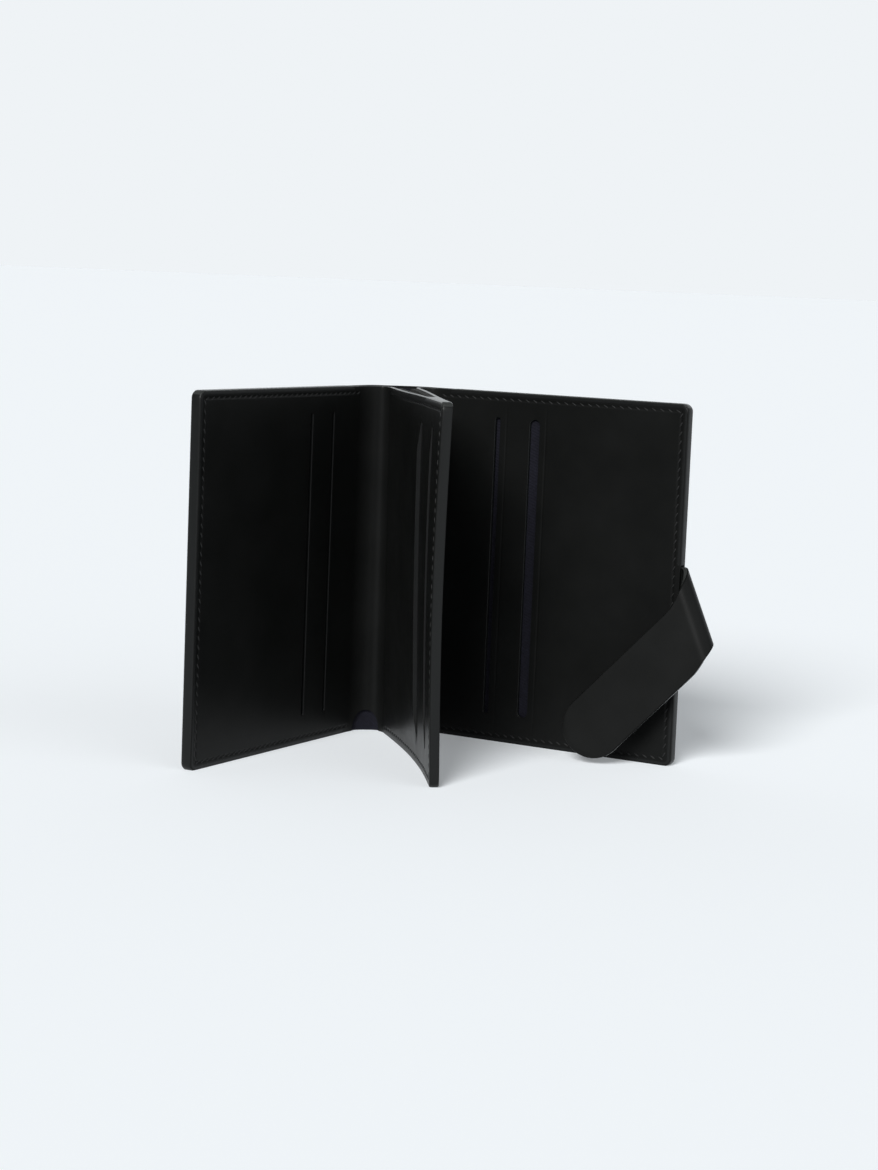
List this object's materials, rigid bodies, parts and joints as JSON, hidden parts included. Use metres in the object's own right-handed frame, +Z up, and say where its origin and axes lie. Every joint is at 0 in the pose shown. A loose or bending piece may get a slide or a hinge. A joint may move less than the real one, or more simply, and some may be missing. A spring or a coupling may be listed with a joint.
{
  "type": "bifold wallet",
  "caption": "Upright leather card wallet with a hinged centre page, card slots, and a closing strap that folds over from the free edge to a press stud.",
  "frame": {"origin": "middle of the spine leather's bottom edge, on the surface that the open wallet stands on", "axes": "+Z up along the spine, +X to the right cover's side, +Y away from the open side"},
  "size_m": [0.1472, 0.0932, 0.105],
  "materials": {
    "black_calf": "smooth black box calf with a soft gloss and painted edges",
    "navy_lining": "matt dark navy textile",
    "stiffener": "matt bonded board",
    "black_thread": "waxed black thread with a slight sheen",
    "snap_metal": "gunmetal plated, satin"
  },
  "bodies": {
    "right_cover": {"right_outer_leather": "black_calf", "right_stiffener_board": "stiffener", "right_back_pocket_liner": "navy_lining", "right_front_pocket_liner": "navy_lining", "right_card_panel": "black_calf", "right_panel_stitching": "black_thread", "strap_tab": "black_calf"},
    "page": {"page_front_panel": "black_calf", "page_front_pocket_liner": "navy_lining", "page_front_stitching": "black_thread", "page_core": "navy_lining", "page_back_panel": "black_calf", "page_back_pocket_liner": "navy_lining", "page_back_stitching": "black_thread", "front_gusset": "black_calf", "back_gusset": "black_calf", "spine_reinforcement": "stiffener", "spine_leather": "black_calf"},
    "left_cover": {"left_outer_leather": "black_calf", "left_stiffener_board": "stiffener", "left_back_pocket_liner": "navy_lining", "left_front_pocket_liner": "navy_lining", "left_card_panel": "black_calf", "left_panel_stitching": "black_thread", "snap_post": "snap_metal", "snap_stud": "snap_metal"},
    "strap_root": {"strap_root_leather": "black_calf", "strap_root_lining": "black_calf"},
    "strap_run": {"strap_outer_leather": "black_calf", "strap_core": "stiffener", "strap_lining_leather": "black_calf", "snap_socket_rivet": "snap_metal", "snap_socket": "snap_metal"}
  },
  "joints": [
    {"name": "page_fold", "type": "hinge", "parent": "right_cover", "child": "page", "pos_m": [0.00679, -0.00165, 0], "axis": [0, 0, 1], "range_deg": [-40, 50]},
    {"name": "cover_fold", "type": "hinge", "parent": "page", "child": "left_cover", "pos_m": [-0.00582, -0.00387, 0], "axis": [0, 0, 1], "range_deg": [-50, 40]},
    {"name": "strap_fold", "type": "hinge", "parent": "right_cover", "child": "strap_root", "pos_m": [0.08875, -0.04949, 0.0453], "axis": [-0.3701, 0.2137, 0.9041], "range_deg": [0, 165.2]},
    {"name": "strap_flex", "type": "hinge", "parent": "strap_root", "child": "strap_run", "pos_m": [0.08464, -0.05053, 0.04387], "axis": [-0.3701, 0.2137, 0.9041], "range_deg": [-15, 12]}
  ],
  "couplings": [
    {"joint": "strap_flex", "follows": "page_fold", "ratio": -0.3}
  ]
}
